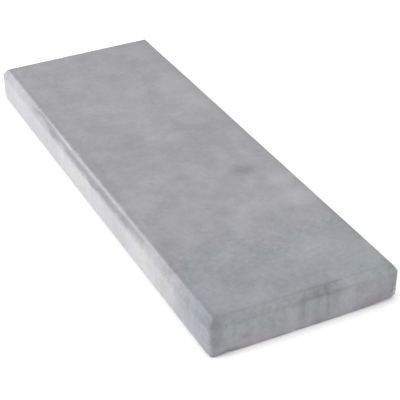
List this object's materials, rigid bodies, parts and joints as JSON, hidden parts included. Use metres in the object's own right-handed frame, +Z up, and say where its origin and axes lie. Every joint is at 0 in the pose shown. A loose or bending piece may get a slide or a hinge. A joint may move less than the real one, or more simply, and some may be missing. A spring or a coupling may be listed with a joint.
{
  "type": "concrete wall coping",
  "caption": "Flat precast concrete coping that caps a wall, with a bevelled top edge all round and drip grooves under both long edges",
  "frame": {"origin": "middle of the bed, the underside that rests on the wall", "axes": "+Z up, +Y along the length of the coping, +X across its width"},
  "size_m": [0.3, 0.9, 0.06],
  "materials": {
    "concrete": "matt, cast"
  },
  "bodies": {
    "root": {"coping": "concrete"}
  },
  "joints": []
}
